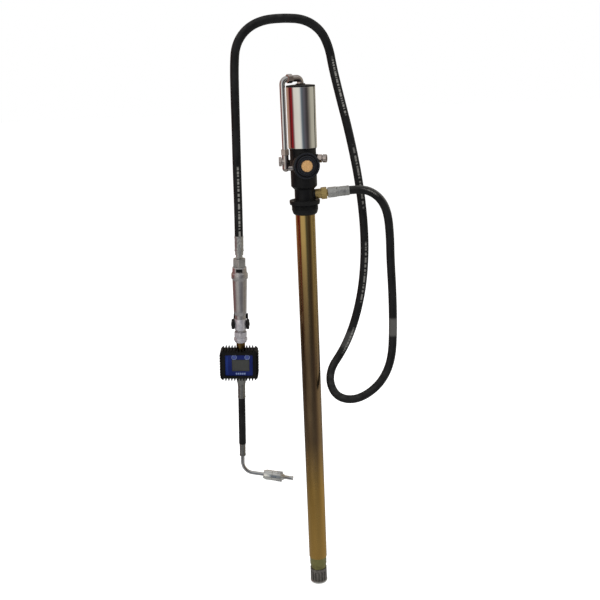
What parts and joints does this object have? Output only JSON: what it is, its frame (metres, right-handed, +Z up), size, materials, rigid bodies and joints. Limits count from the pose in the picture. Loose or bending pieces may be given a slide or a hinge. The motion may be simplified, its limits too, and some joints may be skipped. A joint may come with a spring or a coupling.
{
  "type": "air operated drum oil pump",
  "caption": "Air-operated piston pump on a long suction tube, with a delivery hose, a control gun with a digital gear meter, and a bent spout ending in a nozzle.",
  "frame": {"origin": "on the suction tube's axis, in the plane where the bung adaptor's flange rests on the drum", "axes": "+Z up the suction tube, +X towards the hose outlet, -Y towards the exhaust and the face of the meter"},
  "size_m": [0.4154, 0.1217, 1.3677],
  "materials": {
    "chrome": "polished",
    "black_casting": "satin black",
    "black_plastic": "moulded",
    "yellow_zinc": "yellow zinc plate",
    "brass": "turned",
    "zinc": "grey zinc plate",
    "steel": "ground",
    "bronze": "sintered",
    "seal_rubber": "moulded",
    "hose_rubber": "wrapped cover",
    "boot_rubber": "ribbed",
    "gun_alloy": "cast",
    "nickel": "bright nickel plate",
    "strainer_grey": "moulded",
    "olive_zinc": "olive passivate",
    "panel_blue": "printed film",
    "display_grey": "window",
    "button_blue": "key",
    "meter_alloy": "cast"
  },
  "bodies": {
    "root": {"motor_cylinder": "chrome", "motor_top_cap": "black_casting", "motor_seals": "seal_rubber", "pump_head": "black_casting", "rod_gland": "brass", "exhaust_cap": "black_plastic", "exhaust_silencer": "bronze", "spool_plugs": "black_casting", "air_inlet_nipple": "nickel", "transfer_tube": "chrome", "transfer_nuts": "nickel", "top_elbow": "nickel", "lower_fitting": "nickel", "bung_adaptor": "black_plastic", "bung_gasket": "seal_rubber", "suction_tube": "yellow_zinc", "pump_barrel": "steel", "foot_valve_body": "olive_zinc", "ball_stop_pin": "steel", "suction_strainer": "strainer_grey", "outlet_nipple": "brass", "hose_nut": "zinc", "hose_ferrule": "zinc", "hose": "hose_rubber", "gun_ferrule": "zinc"},
    "reciprocating_rod": {"air_piston": "meter_alloy", "air_piston_seal": "seal_rubber", "piston_nut": "zinc", "motor_rod": "steel", "rod_coupling": "steel", "pump_rod": "steel", "piston_cage": "steel", "pump_piston": "steel", "piston_seals": "seal_rubber"},
    "delivery_ball": {"piston_ball": "steel"},
    "suction_ball": {"foot_ball": "steel"},
    "air_spool": {"valve_spool": "meter_alloy"},
    "control_gun": {"gun_inlet_nut": "zinc", "gun_body": "gun_alloy", "trigger_pins": "steel", "trigger_guard": "black_casting", "gun_union_nut": "nickel", "gun_outlet_nipple": "brass", "meter_body": "meter_alloy", "meter_boot": "boot_rubber", "meter_rear_cover": "black_plastic", "meter_panel": "panel_blue", "meter_display": "display_grey", "spout_adaptor": "zinc", "spout_ferrules": "zinc", "spout_hose": "hose_rubber", "spout_pipe": "chrome", "nozzle_body": "nickel"},
    "trigger_lever": {"trigger": "black_plastic"},
    "gun_stem": {"valve_stem": "steel"},
    "gear_right": {"meter_gear_right": "steel"},
    "gear_left": {"meter_gear_left": "steel"},
    "button_left": {"meter_button_left": "button_blue"},
    "button_right": {"meter_button_right": "button_blue"},
    "nozzle_turn": {"nozzle_sleeve": "nickel"}
  },
  "joints": [
    {"name": "pump_stroke", "type": "slide", "parent": "root", "child": "reciprocating_rod", "axis": [0, 0, 1], "range_m": [0, 0.08]},
    {"name": "delivery_ball_lift", "type": "slide", "parent": "reciprocating_rod", "child": "delivery_ball", "axis": [0, 0, 1], "range_m": [0, 0.004]},
    {"name": "suction_ball_lift", "type": "slide", "parent": "root", "child": "suction_ball", "axis": [0, 0, 1], "range_m": [0, 0.005]},
    {"name": "spool_shift", "type": "slide", "parent": "root", "child": "air_spool", "axis": [1, 0, 0], "range_m": [0, 0.012]},
    {"name": "gun_swivel", "type": "hinge", "parent": "root", "child": "control_gun", "pos_m": [-0.1515, 0, -0.067], "axis": [0.041, 0, 0.9992], "continuous": true},
    {"name": "trigger_pull", "type": "hinge", "parent": "control_gun", "child": "trigger_lever", "pos_m": [-0.16003, 0, -0.27483], "axis": [0.9992, 0, -0.041], "range_deg": [0, 12], "stiffness_Nm_per_rad": 3, "springref_deg": -2.86},
    {"name": "stem_push", "type": "slide", "parent": "control_gun", "child": "gun_stem", "axis": [0, -1, 0], "range_m": [0, 0.0021]},
    {"name": "meter_gear_right_turn", "type": "hinge", "parent": "control_gun", "child": "gear_right", "pos_m": [-0.15193, 0.005, -0.37024], "axis": [0, 1, 0], "continuous": true},
    {"name": "meter_gear_left_turn", "type": "hinge", "parent": "control_gun", "child": "gear_left", "pos_m": [-0.17591, 0.005, -0.36925], "axis": [0, 1, 0], "continuous": true},
    {"name": "button_left_press", "type": "slide", "parent": "control_gun", "child": "button_left", "axis": [0, 1, 0], "range_m": [0, 0.0012], "stiffness_N_per_m": 500, "springref_m": -0.001},
    {"name": "button_right_press", "type": "slide", "parent": "control_gun", "child": "button_right", "axis": [0, 1, 0], "range_m": [0, 0.0012], "stiffness_N_per_m": 500, "springref_m": -0.001},
    {"name": "nozzle_twist", "type": "hinge", "parent": "control_gun", "child": "nozzle_turn", "pos_m": [-0.09705, 0, -0.66725], "axis": [0.9804, 0, -0.1968], "range_deg": [0, 90]}
  ],
  "couplings": [
    {"joint": "stem_push", "follows": "trigger_pull", "m_per_rad": 0.0095},
    {"joint": "meter_gear_left_turn", "follows": "meter_gear_right_turn", "ratio": -1}
  ]
}
